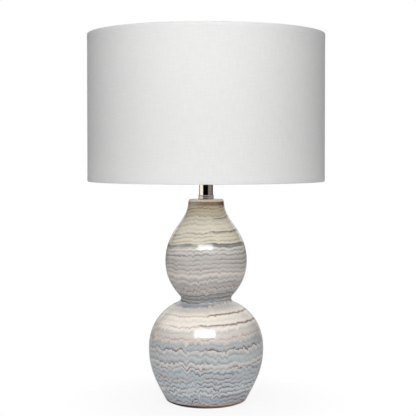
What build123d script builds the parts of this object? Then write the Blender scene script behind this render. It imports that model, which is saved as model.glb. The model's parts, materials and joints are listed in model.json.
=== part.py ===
"""Table lamp with a glazed double gourd body, a bright metal neck and a straight drum shade.

The lamp stands on z = 0 with its axis on +Z; the switch knob points to -Y (the front) and the
cord inlet to +Y (the back). A hollow threaded rod runs from a nut under the gourd's floor,
through the gourd and the neck, to the lampholder. The harp stands on the saddle round the bulb,
and the shade's spider rests on the seat at the top of the harp, under the finial.
All sizes are millimetres.
"""

from build123d import *
from math import atan2, cos, pi, radians, sin, tan
import os

# ---------------------------------------------------------------- driving sizes
# Clearances
FIT = 0.1  # radial clearance of a fixed piece in its seat
REST = 0.25  # gap under a piece that another body carries
SLIDE = 0.25  # clearance beside a piece that slides or lifts

# Felt and foot
FELT_THICKNESS = 1.5
FELT_RADIUS = 65.5
FOOT_RADIUS = 67.1
FOOT_RIM_WIDTH = 6.6

# The gourd's outline: the radius at each station and its rise above the station below
FOOT_SIDE_RADIUS, FOOT_SIDE_RISE = 74.2, 3.5
BELLY_RADIUS, BELLY_RISE = 105.0, 93.8
LOW_FLANK_RADIUS, LOW_FLANK_RISE = 60.9, 78.2
WAIST_RADIUS, WAIST_RISE = 46.4, 11.5
HIGH_FLANK_RADIUS, HIGH_FLANK_RISE = 51.9, 9.5
CROWN_RADIUS, CROWN_RISE = 74.6, 59.5
NECK_FLANK_RADIUS, NECK_FLANK_RISE = 46.4, 72.5
LIP_RADIUS, LIP_RISE = 32.3, 36.5
LIP_ROUNDING = 4.5
# Lean of the outline where it isn't upright, in degrees, positive where it widens upwards
FOOT_LEAN = 29.0
LOW_FLANK_LEAN = -58.7
HIGH_FLANK_LEAN = 39.2
NECK_FLANK_LEAN = -35.5
LIP_LEAN = -4.0
HANDLE = 0.38  # length of each curve handle, as a share of its chord
GOURD_WALL = 6.0
FLOOR_HEIGHT = 18.5  # underside of the gourd's floor above its foot
FLOOR_THICKNESS = 6.0
ROD_HOLE_RADIUS = 6.5

# Cord inlet at the back of the foot
NOTCH_WIDTH = 9.6
NOTCH_HEIGHT = 10.4
BUSHING_BORE_RADIUS = 3.4
BUSHING_REACH = 4.0  # how far the bushing stands out behind the foot's side
BUSHING_COLLAR = 1.6
BUSHING_TAIL = 3.0  # how far it stands in from the foot's rim

# Rod and its hardware
ROD_RADIUS = 5.0
ROD_BORE_RADIUS = 3.6
ROD_BELOW_NUT = 3.0
NUT_ACROSS_FLATS = 14.0
NUT_HEIGHT = 4.0
LOCK_WASHER_RADIUS = 8.0
LOCK_WASHER_THICKNESS = 1.2
LOCK_WASHER_SPLIT = 1.4
BASE_PLATE_RADIUS = 22.0
BASE_PLATE_THICKNESS = 2.0
ROD_END_FLANGE = 1.2
ROD_END_SPIGOT = 6.0
ROD_END_BORE_RADIUS = 2.8

# Neck
TUBE_RADIUS = 12.7
TUBE_WALL = 0.9
TUBE_LENGTH = 50.8
FERRULE_RADIUS = 14.3
FERRULE_HEIGHT = 7.0
FERRULE_FLOOR = 1.5
FERRULE_BEAD = 2.2
FERRULE_COVE_DEPTH = 0.6
TUBE_CAP_RADIUS = 13.8
TUBE_CAP_THICKNESS = 2.0
TUBE_CAP_SPIGOT = 4.0

# Harp saddle
SADDLE_THICKNESS = 1.6
SADDLE_WIDTH = 12.0
SADDLE_FLAT = 15.0  # half length of the flat middle
SADDLE_RISE = 11.0
SADDLE_KNEE = 22.5  # where each sloping arm meets its ledge
SADDLE_REACH = 31.6
TONGUE_WIDTH = 3.2
TONGUE_HEIGHT = 13.0

# Lampholder
CAP_HEIGHT = 19.0
CAP_RADIUS = 17.1
CAP_WALL = 0.5
HUB_RADIUS = 8.0
HUB_HEIGHT = 5.0
HUB_FLOOR = 2.0
SHELL_RADIUS = 16.5
SHELL_WALL = 0.5
SHELL_HEIGHT = 41.0
SHELL_IN_CAP = 3.0  # how deep the shell sits in the cap
LINER_WALL = 0.7
LINER_SHORT = 2.0  # the liner stops this far below the shell's rim
BLOCK_RADIUS = 14.9
BLOCK_ABOVE_HUB = 15.5
BLOCK_HEIGHT = 12.0
SLOT_WIDTH = 8.0
TERMINAL_HEAD_RADIUS = 2.6
TERMINAL_HEAD_HEIGHT = 1.6
TERMINAL_SHANK_RADIUS = 1.4
TERMINAL_LENGTH = 5.0
TERMINAL_FLAT = 12.2  # distance of the block's side flats from its axis
SET_SCREW_RADIUS = 1.5
SET_SCREW_LENGTH = 6.0
SCREW_SHELL_RADIUS = 13.4  # clear radius inside the thread
SCREW_SHELL_WALL = 0.4
SCREW_SHELL_HEIGHT = 24.0
THREAD_PITCH = 3.6
THREAD_DEPTH = 0.7
CONTACT_THICKNESS = 0.5
CONTACT_WIDTH = 5.0
CONTACT_LENGTH = 8.0
CONTACT_RISE = 3.2

# Switch
SPINDLE_RADIUS = 2.0
SPINDLE_LENGTH = 34.0
SPINDLE_START = 5.0  # inner end, in front of the lampholder's axis
KNOB_RADIUS = 7.0
KNOB_LENGTH = 14.0
KNOB_FLUTES = 12
KNOB_FLUTE_RADIUS = 0.9
KNOB_CROWN = 1.5

# Bulb
BULB_RADIUS = 30.0
BULB_LENGTH = 104.0
BULB_GLASS = 0.8
BULB_CAP_RADIUS = 13.05
BULB_CAP_HEIGHT = 20.0
BULB_CAP_WALL = 0.4
BULB_THREAD_COUNT = 4
BULB_NECK_RADIUS = 12.4
BULB_TIP_RADIUS = 4.4
BULB_TIP_HEIGHT = 1.6
BULB_INSULATOR_HEIGHT = 4.4
BULB_STEM_RADIUS = 5.0
BULB_STEM_HEIGHT = 46.0
BULB_FLARE_HEIGHT = 14.0
BULB_PRESS_HEIGHT = 24.0
BULB_ROD_RADIUS = 1.5
FILAMENT_SPAN = 22.0
FILAMENT_WIRE_RADIUS = 0.5

# Harp, from its seat on the saddle to the shade's seat
HARP_HEIGHT = 228.6
HARP_WIRE_RADIUS = 1.75
HARP_HALF_WIDTH = 57.0
HARP_TOP_HALF_WIDTH = 20.0
HARP_STRAIGHT = 36.0  # straight foot of each leg, where its sleeve slides
HARP_SHOULDER_RISE = 46.0
HARP_UPPER_DROP = 61.0
HARP_UPPER_INSET = 5.0
HARP_BENDS = (18.0, 60.0, 90.0, 14.0)  # radii from the foot to the top
HARP_PAD = (24.0, 9.0)
SLEEVE_RADIUS = 3.9
SLEEVE_BORE_RADIUS = 3.2
SLEEVE_LENGTH = 14.0
SLEEVE_BEAD = 0.5
SEAT_RADIUS = 9.0
SEAT_THICKNESS = 2.4
PIVOT_RADIUS = 2.0
PIVOT_HEAD_RADIUS = 3.6
PIVOT_HEAD_THICKNESS = 1.2
STUD_RADIUS = 3.1
STUD_HEIGHT = 10.5

# Shade
SHADE_RADIUS = 215.9
SHADE_HEIGHT = 266.7
FABRIC = 0.6
LINER = 0.8
SKIN_GAP = 0.1  # between the fabric and its liner
RING_WIRE_RADIUS = 1.6
RING_SLACK = 0.3  # on each side of a ring in its fold
HEM_DEPTH = 8.0
SPIDER_HUB_RADIUS = 12.7
SPIDER_HUB_HOLE = 3.7
SPIDER_HUB_THICKNESS = 1.6
SPIDER_ARMS = 3
SPIDER_FIRST_ARM = 90.0  # degrees from +X, so one arm points to the back
SPIDER_DROP = 13.4  # from the shade's top edge down to the arms
SPIDER_BEND = 6.0

# Finial
FINIAL_HEIGHT = 15.7
FINIAL_BASE_RADIUS = 6.4
FINIAL_NECK_RADIUS = 4.6
FINIAL_BALL_RADIUS = 7.0
FINIAL_BASE_HEIGHT = 2.4

# ---------------------------------------------------------------- heights that follow
foot_z = FELT_THICKNESS
floor_z = foot_z + FLOOR_HEIGHT
foot_side_z = foot_z + FOOT_SIDE_RISE
belly_z = foot_side_z + BELLY_RISE
low_flank_z = belly_z + LOW_FLANK_RISE
waist_z = low_flank_z + WAIST_RISE
high_flank_z = waist_z + HIGH_FLANK_RISE
crown_z = high_flank_z + CROWN_RISE
neck_flank_z = crown_z + NECK_FLANK_RISE
lip_z = neck_flank_z + LIP_RISE
gourd_top = lip_z + LIP_ROUNDING
tube_z = gourd_top + FERRULE_FLOOR
tube_top = tube_z + TUBE_LENGTH
saddle_z = tube_top + TUBE_CAP_THICKNESS
saddle_seat = saddle_z + SADDLE_THICKNESS
ledge_z = saddle_z + SADDLE_RISE + SADDLE_THICKNESS
cap_z = saddle_seat + NUT_HEIGHT
shell_z = cap_z + CAP_HEIGHT - SHELL_IN_CAP
shell_top = shell_z + SHELL_HEIGHT
block_z = cap_z + BLOCK_ABOVE_HUB
block_top = block_z + BLOCK_HEIGHT
switch_z = block_z + BLOCK_HEIGHT / 2
bulb_z = block_top + CONTACT_RISE + CONTACT_THICKNESS + REST
rod_top = cap_z + HUB_HEIGHT + HUB_FLOOR
plate_z = floor_z - BASE_PLATE_THICKNESS
washer_z = plate_z - LOCK_WASHER_THICKNESS
base_nut_z = washer_z - NUT_HEIGHT
rod_z = base_nut_z - ROD_BELOW_NUT
seat_top = saddle_seat + HARP_HEIGHT
harp_top = seat_top - SEAT_THICKNESS - REST - HARP_WIRE_RADIUS  # centre of the wire
leg_z = ledge_z + REST
hub_z = seat_top + REST
arm_z = hub_z + SPIDER_HUB_THICKNESS / 2
shade_top = arm_z + SPIDER_DROP
fold = (2 * RING_WIRE_RADIUS + LINER + SKIN_GAP + 2 * RING_SLACK) / 2  # inner radius of the hem's fold
ring_z = shade_top - FABRIC - fold
shade_z = shade_top - SHADE_HEIGHT
low_ring_z = shade_z + FABRIC + fold
finial_z = hub_z + SPIDER_HUB_THICKNESS + REST

# Radii that follow
fabric_inside = SHADE_RADIUS - FABRIC
liner_outside = fabric_inside - SKIN_GAP
liner_inside = liner_outside - LINER
ring_radius = liner_inside - RING_SLACK - RING_WIRE_RADIUS
hem_radius = fabric_inside - fold  # middle of the fold
rod_clear = ROD_RADIUS + FIT
shell_inside = SHELL_RADIUS - SHELL_WALL
tongue_x = SADDLE_REACH - 2 * SADDLE_THICKNESS - 2 * HARP_WIRE_RADIUS - SLIDE  # tongue's inner face
leg_x = tongue_x + SADDLE_THICKNESS + SLIDE + HARP_WIRE_RADIUS
sleeve_x = leg_x + HARP_WIRE_RADIUS + SLIDE - SLEEVE_BORE_RADIUS


# ---------------------------------------------------------------- helpers
def disc(radius, low, high):
    """Solid cylinder on the lamp's axis."""
    return Pos(0, 0, low) * Cylinder(radius, high - low, align=(Align.CENTER, Align.CENTER, Align.MIN))


def tube(inner, outer, low, high):
    """Round tube or washer on the lamp's axis."""
    return disc(outer, low, high) - disc(inner, low, high)


def turned(*outline):
    """Solid of revolution from a closed (radius, height) outline of points and curves."""
    spans = []
    for item in outline:
        if isinstance(item, tuple):
            spans.append((Vector(*item), Vector(*item), []))
        else:
            spans.append((item @ 0, item @ 1, [item]))
    edges = []
    for (_, end, curve), (start, _, _) in zip(spans, [*spans[1:], spans[0]]):
        edges += curve
        if (start - end).length > 1e-6:
            edges.append(Line(end, start))
    return revolve(Plane.XZ * make_face(edges), Axis.Z)


def rod_along_y(radius, front, back, x, z):
    """Solid cylinder along Y between two values of y."""
    round_face = Plane((x, front, z), z_dir=(0, 1, 0)) * Circle(radius)
    return extrude(round_face, back - front)


def hex_nut(low):
    """Hexagonal nut on the rod."""
    outline = Pos(0, 0, low) * RegularPolygon(NUT_ACROSS_FLATS / 2, 6, major_radius=False)
    blank = extrude(outline, NUT_HEIGHT)
    round_off = NUT_ACROSS_FLATS * 0.56
    blank &= chamfer(disc(round_off, low, low + NUT_HEIGHT).edges().filter_by(GeomType.CIRCLE), 0.5)
    return blank - disc(rod_clear, low, low + NUT_HEIGHT)


# ---------------------------------------------------------------- gourd and foot
def leaning(degrees):
    """Unit direction up the outline where it leans by that much."""
    return Vector(sin(radians(degrees)), cos(radians(degrees)))


def gourd_sides():
    """The outline's smooth curves from the foot's side up to the lip, one between each two stations."""
    stations = [
        (FOOT_SIDE_RADIUS, foot_side_z, FOOT_LEAN),
        (BELLY_RADIUS, belly_z, 0),
        (LOW_FLANK_RADIUS, low_flank_z, LOW_FLANK_LEAN),
        (WAIST_RADIUS, waist_z, 0),
        (HIGH_FLANK_RADIUS, high_flank_z, HIGH_FLANK_LEAN),
        (CROWN_RADIUS, crown_z, 0),
        (NECK_FLANK_RADIUS, neck_flank_z, NECK_FLANK_LEAN),
        (LIP_RADIUS, lip_z, LIP_LEAN),
    ]
    curves = []
    for (r0, z0, lean0), (r1, z1, lean1) in zip(stations, stations[1:]):
        start, end = Vector(r0, z0), Vector(r1, z1)
        pull = HANDLE * (end - start).length
        curves.append(Bezier(start, start + leaning(lean0) * pull, end - leaning(lean1) * pull, end))
    return curves


def gourd_outside():
    """The gourd's outer form, filled, with its bevelled foot and rounded lip."""
    lip = Vector(LIP_RADIUS, lip_z)
    flat_radius = LIP_RADIUS - LIP_ROUNDING
    over = Bezier(lip, lip + leaning(LIP_LEAN) * LIP_ROUNDING * 0.6,
                  (flat_radius + LIP_ROUNDING * 0.55, gourd_top), (flat_radius, gourd_top))
    side = Vector(FOOT_SIDE_RADIUS, foot_side_z)
    bevel = Bezier((FOOT_RADIUS, foot_z), ((FOOT_RADIUS + FOOT_SIDE_RADIUS) / 2, foot_z),
                   side - leaning(FOOT_LEAN) * FOOT_SIDE_RISE / 2, side)
    return turned((0, foot_z), bevel, *gourd_sides(), over, (0, gourd_top))


def gourd_void():
    """The hollow inside the wall, open at the foot; its skin is stepped in by the wall."""
    points = []
    for curve in gourd_sides():
        for share in (0.0, 0.25, 0.5, 0.75):
            at, along = curve.position_at(share), curve.tangent_at(share)
            points.append((at.X - along.Y * GOURD_WALL, at.Y + along.X * GOURD_WALL))
    ceiling = gourd_top - GOURD_WALL
    points = [p for p in points if foot_z + GOURD_WALL / 2 < p[1] < ceiling - GOURD_WALL / 2]
    skin = Spline(*points)
    foot_inside = (FOOT_RADIUS - FOOT_RIM_WIDTH, foot_z)
    top_inside = (points[-1][0] - GOURD_WALL / 4, ceiling)
    return turned((0, foot_z), foot_inside, skin, top_inside, (0, ceiling))


def arch(width, height, front, back):
    """Bar along Y with a flat foot on the felt and a half-round top."""
    half = width / 2
    outline = Polyline((half, height - half), (half, 0), (-half, 0), (-half, height - half))
    crown = ThreePointArc((-half, height - half), (0, height), (half, height - half))
    face = make_face(Wire([*outline.edges(), *crown.edges()]))
    return Pos(0, back, foot_z) * extrude(Plane.XZ * face, back - front)


def gourd_body(outside):
    """Hollow gourd with a floor, the rod's holes and the cord notch."""
    floor = disc(BELLY_RADIUS, floor_z, floor_z + FLOOR_THICKNESS)
    body = outside - (gourd_void() - floor) - disc(ROD_HOLE_RADIUS, foot_z, gourd_top)
    return body - arch(NOTCH_WIDTH, NOTCH_HEIGHT, 0, BELLY_RADIUS)


def cord_bushing(outside):
    """Plug in the notch with a collar outside and a round bore for the cord."""
    back = FOOT_SIDE_RADIUS + BUSHING_REACH
    front = FOOT_RADIUS - FOOT_RIM_WIDTH - BUSHING_TAIL
    plug = arch(NOTCH_WIDTH - 2 * FIT, NOTCH_HEIGHT - FIT, front, back)
    collar = arch(NOTCH_WIDTH + 2 * BUSHING_COLLAR, NOTCH_HEIGHT + BUSHING_COLLAR, front, back)
    collar -= outside
    bore_z = foot_z + NOTCH_HEIGHT / 2
    return plug + collar - rod_along_y(BUSHING_BORE_RADIUS, front, back, 0, bore_z)


def felt_pad():
    """Felt disc glued under the foot's rim."""
    return disc(FELT_RADIUS, 0, FELT_THICKNESS)


# ---------------------------------------------------------------- rod and neck
def lamp_rod():
    """Hollow threaded rod that clamps the lamp together."""
    rod = disc(ROD_RADIUS, rod_z, rod_top)
    rod = chamfer(rod.edges().filter_by(GeomType.CIRCLE), 0.5)
    return rod - disc(ROD_BORE_RADIUS, rod_z, rod_top)


def rod_end_bushing():
    """Plastic nose in the rod's lower end, which keeps the thread off the cord."""
    spigot = disc(ROD_BORE_RADIUS - FIT, rod_z, rod_z + ROD_END_SPIGOT)
    flange = disc(ROD_RADIUS, rod_z - ROD_END_FLANGE, rod_z)
    bore = disc(ROD_END_BORE_RADIUS, rod_z - ROD_END_FLANGE, rod_z + ROD_END_SPIGOT)
    return spigot + flange - bore


def lock_washer():
    """Split spring washer above the base nut."""
    ring = tube(rod_clear, LOCK_WASHER_RADIUS, washer_z, plate_z)
    split = Box(LOCK_WASHER_RADIUS, LOCK_WASHER_SPLIT, LOCK_WASHER_THICKNESS,
                align=(Align.MIN, Align.CENTER, Align.MIN))
    return ring - Pos(0, 0, washer_z) * split


def neck_ferrule():
    """Turned cup with two beads and a cove, which holds the neck tube on the gourd."""
    top = gourd_top + FERRULE_HEIGHT
    outer, cove = FERRULE_RADIUS, FERRULE_RADIUS - FERRULE_COVE_DEPTH
    bore = TUBE_RADIUS + FIT
    soft = FERRULE_BEAD / 4
    low_bead = Bezier((outer, gourd_top + FERRULE_BEAD - soft), (outer, gourd_top + FERRULE_BEAD),
                      (cove, gourd_top + FERRULE_BEAD), (cove, gourd_top + FERRULE_BEAD + soft))
    high_bead = Bezier((cove, top - FERRULE_BEAD - soft), (cove, top - FERRULE_BEAD),
                       (outer, top - FERRULE_BEAD), (outer, top - FERRULE_BEAD + soft))
    roll = Bezier((outer, top - soft * 2), (outer, top), (outer - soft, top), (bore + soft, top))
    return turned((rod_clear, gourd_top), (outer, gourd_top), low_bead, high_bead, roll,
                  (bore, top), (bore, tube_z), (rod_clear, tube_z))


def tube_cap():
    """Check ring that closes the neck tube and centres the rod."""
    plate = tube(rod_clear, TUBE_CAP_RADIUS, tube_top, saddle_z)
    plate = fillet(plate.edges().filter_by(GeomType.CIRCLE).group_by(SortBy.RADIUS)[-1], 0.6)
    spigot = tube(rod_clear, TUBE_RADIUS - TUBE_WALL - FIT, tube_top - TUBE_CAP_SPIGOT, tube_top)
    return plate + spigot


# ---------------------------------------------------------------- harp saddle and harp
def harp_saddle():
    """Pressed strip with two raised ledges, each with a tongue inside the harp's leg."""
    under = [(SADDLE_FLAT, 0), (SADDLE_KNEE, SADDLE_RISE), (SADDLE_REACH, SADDLE_RISE)]
    mitre = SADDLE_THICKNESS * tan(atan2(SADDLE_RISE, SADDLE_KNEE - SADDLE_FLAT) / 2)
    over = [(SADDLE_FLAT - mitre, 0), (SADDLE_KNEE - mitre, SADDLE_RISE), (SADDLE_REACH, SADDLE_RISE)]
    lower = [(-x, z) for x, z in reversed(under)] + under
    upper = [(x, z + SADDLE_THICKNESS) for x, z in reversed(over)]
    upper += [(-x, z + SADDLE_THICKNESS) for x, z in over]
    face = make_face(Polyline(*lower, *upper, close=True))
    strip = Pos(0, SADDLE_WIDTH / 2, saddle_z) * extrude(Plane.XZ * face, SADDLE_WIDTH)
    strip -= disc(rod_clear, saddle_z, saddle_seat)
    for side in (-1, 1):
        blade = Box(SADDLE_THICKNESS, TONGUE_WIDTH, TONGUE_HEIGHT,
                    align=(Align.CENTER, Align.CENTER, Align.MIN))
        strip += Pos(side * (tongue_x + SADDLE_THICKNESS / 2), 0, ledge_z) * blade
    return strip


def harp_bow():
    """Bent wire bow with a drilled pad at its top."""
    half = [
        (leg_x, leg_z),
        (leg_x, leg_z + HARP_STRAIGHT),
        (HARP_HALF_WIDTH, leg_z + HARP_STRAIGHT + HARP_SHOULDER_RISE),
        (HARP_HALF_WIDTH - HARP_UPPER_INSET, harp_top - HARP_UPPER_DROP),
        (HARP_TOP_HALF_WIDTH, harp_top),
    ]
    route = [(x, 0, z) for x, z in half] + [(-x, 0, z) for x, z in reversed(half)]
    bends = [*HARP_BENDS, *reversed(HARP_BENDS)]
    path = FilletPolyline(*route, radius=bends)
    section = Plane(path @ 0, z_dir=path % 0) * Circle(HARP_WIRE_RADIUS)
    wire = sweep(section, path)
    pad = Pos(0, 0, harp_top) * Box(*HARP_PAD, 2 * HARP_WIRE_RADIUS)
    pad = fillet(pad.edges().filter_by(Axis.Z), HARP_PAD[1] / 3)
    hole = disc(PIVOT_RADIUS + SLIDE, harp_top - HARP_PAD[1], harp_top + HARP_PAD[1])
    return wire + pad - hole


def harp_sleeve(side):
    """Sliding sleeve that locks one leg of the harp to its tongue."""
    low, high = leg_z, leg_z + SLEEVE_LENGTH
    sleeve = tube(SLEEVE_BORE_RADIUS, SLEEVE_RADIUS, low, high)
    for z in (low + SLEEVE_BEAD, high - SLEEVE_BEAD):
        sleeve += tube(SLEEVE_RADIUS - SLEEVE_BEAD, SLEEVE_RADIUS + SLEEVE_BEAD, z - SLEEVE_BEAD,
                       z + SLEEVE_BEAD)
    return Pos(side * sleeve_x, 0, 0) * sleeve


def harp_stud():
    """Swivelling seat for the shade with its threaded stud, riveted through the harp's pad."""
    pad_low, pad_high = harp_top - HARP_WIRE_RADIUS, harp_top + HARP_WIRE_RADIUS
    seat = disc(SEAT_RADIUS, pad_high + REST, seat_top)
    seat = chamfer(seat.edges().filter_by(GeomType.CIRCLE).sort_by(Axis.Z)[0], SEAT_THICKNESS / 3)
    pivot = disc(PIVOT_RADIUS, pad_low - REST, pad_high + REST)
    head = disc(PIVOT_HEAD_RADIUS, pad_low - REST - PIVOT_HEAD_THICKNESS, pad_low - REST)
    stud = disc(STUD_RADIUS, seat_top, seat_top + STUD_HEIGHT)
    stud = chamfer(stud.edges().filter_by(GeomType.CIRCLE).sort_by(Axis.Z)[-1], STUD_RADIUS / 5)
    return seat + pivot + head + stud


# ---------------------------------------------------------------- lampholder
def socket_cap():
    """Flared metal cap whose hub screws on to the rod."""
    rim, wall = cap_z + CAP_HEIGHT, CAP_WALL
    hub_top = cap_z + HUB_HEIGHT
    waist_z = (hub_top + rim) / 2
    flare = Bezier((HUB_RADIUS, hub_top), (CAP_RADIUS * 0.75, hub_top), (CAP_RADIUS, hub_top + wall * 6),
                   (CAP_RADIUS, waist_z))
    inside = Bezier((CAP_RADIUS - wall, waist_z), (CAP_RADIUS - wall, hub_top + HUB_FLOOR + wall * 5),
                    (CAP_RADIUS * 0.75 - wall, hub_top + HUB_FLOOR), (rod_clear, hub_top + HUB_FLOOR))
    cap = turned((rod_clear, cap_z), (HUB_RADIUS, cap_z), flare, (CAP_RADIUS, rim),
                 (CAP_RADIUS - wall, rim), inside)
    screw_hole = rod_along_y(SET_SCREW_RADIUS + FIT, 0, CAP_RADIUS, 0, cap_z + HUB_HEIGHT / 2)
    return cap - screw_hole


def socket_set_screw():
    """Slotted screw in the hub's side, which locks the cap to the rod."""
    tip = ROD_RADIUS + FIT
    screw_z = cap_z + HUB_HEIGHT / 2
    screw = rod_along_y(SET_SCREW_RADIUS, tip, tip + SET_SCREW_LENGTH, 0, screw_z)
    slot = Box(2 * SET_SCREW_RADIUS, SET_SCREW_RADIUS, SET_SCREW_RADIUS / 3)
    return screw - Pos(0, tip + SET_SCREW_LENGTH, screw_z) * slot


def switch_slot(low):
    """Cutter for the slot that the switch's spindle passes through, open downwards."""
    depth = CAP_RADIUS
    column = Box(SLOT_WIDTH, depth, switch_z - low, align=(Align.CENTER, Align.MAX, Align.MIN))
    return Pos(0, 0, low) * column + rod_along_y(SLOT_WIDTH / 2, -depth, 0, 0, switch_z)


def socket_shell():
    """Bright outer shell with a rolled rim and the switch slot."""
    shell = tube(shell_inside, SHELL_RADIUS, shell_z, shell_top)
    lip = Pos(0, 0, shell_top) * Torus(SHELL_RADIUS - SHELL_WALL / 2, SHELL_WALL)
    return shell + lip - switch_slot(shell_z)


def socket_liner():
    """Insulating sleeve inside the shell."""
    outer = shell_inside - FIT
    liner = tube(outer - LINER_WALL, outer, shell_z, shell_top - LINER_SHORT)
    return liner - switch_slot(shell_z)


def switch_block():
    """Moulded block that carries the contacts, the terminals and the switch."""
    block = disc(BLOCK_RADIUS, block_z, block_top)
    block = chamfer(block.edges().filter_by(GeomType.CIRCLE), 0.6)
    for side in (-1, 1):
        flat = Box(BLOCK_RADIUS, 2 * BLOCK_RADIUS, BLOCK_HEIGHT)
        block -= Pos(side * (TERMINAL_FLAT + BLOCK_RADIUS / 2), 0, switch_z) * flat
        shank = Pos(side * TERMINAL_FLAT, 0, switch_z) * Rot(0, 90, 0)
        block -= shank * Cylinder(TERMINAL_SHANK_RADIUS + FIT, 2 * TERMINAL_LENGTH)
    return block - rod_along_y(SPINDLE_RADIUS + SLIDE, -BLOCK_RADIUS, SLIDE - SPINDLE_START, 0, switch_z)


def terminal_screws():
    """The two binding screws in the block's flats."""
    screws = []
    for side in (-1, 1):
        out = Pos(side * TERMINAL_FLAT, 0, switch_z) * Rot(0, 90 * side, 0)
        head = Cylinder(TERMINAL_HEAD_RADIUS, TERMINAL_HEAD_HEIGHT,
                        align=(Align.CENTER, Align.CENTER, Align.MIN))
        shank = Cylinder(TERMINAL_SHANK_RADIUS, TERMINAL_LENGTH - FIT,
                         align=(Align.CENTER, Align.CENTER, Align.MAX))
        slot = Pos(0, 0, TERMINAL_HEAD_HEIGHT) * Box(0.6, 2 * TERMINAL_HEAD_RADIUS, 0.8)
        screws.append(out * (head + shank - slot))
    return Compound(children=screws)


def thread_profile(radius, low, rings, depth):
    """Points of a rolled thread, one crest for each ring, from its lower end up."""
    points = []
    for ring in range(rings):
        z = low + ring * THREAD_PITCH
        points += [(radius - depth, z), (radius - depth, z + THREAD_PITCH * 0.15),
                   (radius, z + THREAD_PITCH * 0.4), (radius, z + THREAD_PITCH * 0.6),
                   (radius - depth, z + THREAD_PITCH * 0.85)]
    return points


def screw_shell():
    """Rolled metal thread that the bulb screws into, with a turned-in foot."""
    inner, wall = SCREW_SHELL_RADIUS, SCREW_SHELL_WALL
    rings = int(SCREW_SHELL_HEIGHT / THREAD_PITCH) - 1
    crests = thread_profile(inner + wall + THREAD_DEPTH, block_top + 2 * wall, rings, THREAD_DEPTH)
    top = block_top + SCREW_SHELL_HEIGHT
    outside = [(inner + wall, block_top), *crests, (inner + wall, top)]
    inside = [(r - wall, z) for r, z in reversed(crests)]
    foot = (inner / 2, block_top)
    return turned(foot, *outside, (inner, top), *inside, (inner, block_top + wall),
                  (inner / 2, block_top + wall))


def centre_contact():
    """Springy brass tongue under the bulb's tip."""
    base = Box(CONTACT_LENGTH, CONTACT_WIDTH, CONTACT_THICKNESS,
               align=(Align.CENTER, Align.CENTER, Align.MIN))
    rise = Pos(-CONTACT_LENGTH / 2, 0, 0) * Box(
        CONTACT_THICKNESS, CONTACT_WIDTH, CONTACT_RISE,
        align=(Align.MIN, Align.CENTER, Align.MIN))
    tip = Pos(-CONTACT_LENGTH / 2, 0, CONTACT_RISE) * Box(
        CONTACT_LENGTH, CONTACT_WIDTH, CONTACT_THICKNESS,
        align=(Align.MIN, Align.CENTER, Align.MIN))
    return Pos(0, 0, block_top) * (base + rise + tip)


def switch_spindle():
    """Round spindle of the rotary switch."""
    return rod_along_y(SPINDLE_RADIUS, -SPINDLE_START - SPINDLE_LENGTH, -SPINDLE_START, 0, switch_z)


def switch_knob():
    """Fluted turn knob pressed on to the spindle's end."""
    front = -SPINDLE_START - SPINDLE_LENGTH - KNOB_CROWN
    knob = rod_along_y(KNOB_RADIUS, front, front + KNOB_LENGTH, 0, switch_z)
    knob = fillet(knob.edges().filter_by(GeomType.CIRCLE).sort_by(Axis.Y)[0], KNOB_CROWN)
    for index in range(KNOB_FLUTES):
        turn = 2 * pi * index / KNOB_FLUTES
        x, z = KNOB_RADIUS * cos(turn), switch_z + KNOB_RADIUS * sin(turn)
        knob -= rod_along_y(KNOB_FLUTE_RADIUS, front - 1, front + KNOB_LENGTH + 1, x, z)
    socket = rod_along_y(SPINDLE_RADIUS + FIT, front + KNOB_CROWN, front + KNOB_LENGTH, 0, switch_z)
    return knob - socket


# ---------------------------------------------------------------- bulb
def bulb_levels():
    """Heights of the bulb's insulator, cap and cap rim above the table."""
    insulator = bulb_z + BULB_TIP_HEIGHT
    cap = insulator + BULB_INSULATOR_HEIGHT
    return insulator, cap, cap + BULB_CAP_HEIGHT


def bulb_contact():
    """Domed tip contact."""
    tip = disc(BULB_TIP_RADIUS, bulb_z, bulb_z + BULB_TIP_HEIGHT)
    return fillet(tip.edges().filter_by(GeomType.CIRCLE).sort_by(Axis.Z)[0], BULB_TIP_HEIGHT / 2)


def bulb_insulator():
    """Dark glass cone between the tip and the cap."""
    low, cap, _ = bulb_levels()
    wide = BULB_CAP_RADIUS - THREAD_DEPTH - BULB_CAP_WALL
    return turned((0, low), (BULB_TIP_RADIUS + 1, low), (wide, cap), (0, cap))


def bulb_cap():
    """Rolled metal screw cap."""
    _, low, rim = bulb_levels()
    outer, wall = BULB_CAP_RADIUS, BULB_CAP_WALL
    crests = thread_profile(outer, low, BULB_THREAD_COUNT, THREAD_DEPTH)
    inside = [(r - wall, z) for r, z in reversed(crests)]
    return turned(*crests, (outer, low + BULB_THREAD_COUNT * THREAD_PITCH), (outer, rim),
                  (outer - wall, rim), (outer - wall, low + BULB_THREAD_COUNT * THREAD_PITCH), *inside)


def glass_curve(inset):
    """Edges of the bulb's glass, from its neck to its crown, stepped in by inset."""
    _, low, rim = bulb_levels()
    neck = BULB_NECK_RADIUS - inset
    wide = BULB_RADIUS - inset
    top = bulb_z + BULB_LENGTH - inset
    equator = top - wide
    side = Bezier((neck, rim), (neck, rim + 0.35 * (equator - rim)), (wide, equator - 0.5 * (equator - rim)),
                  (wide, equator))
    dome = ThreePointArc((wide, equator), (wide * cos(pi / 4), equator + wide * sin(pi / 4)), (0, top))
    start = (neck, rim - BULB_CAP_HEIGHT / 4)
    return start, side, dome


def bulb_glass():
    """Thin soft-white envelope, open at the neck inside the cap."""
    start, side, dome = glass_curve(0)
    inner_start, inner_side, inner_dome = glass_curve(BULB_GLASS)
    filled = turned(start, side, dome, (0, start[1]))
    return filled - turned(inner_start, inner_side, inner_dome, (0, inner_start[1]))


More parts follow.
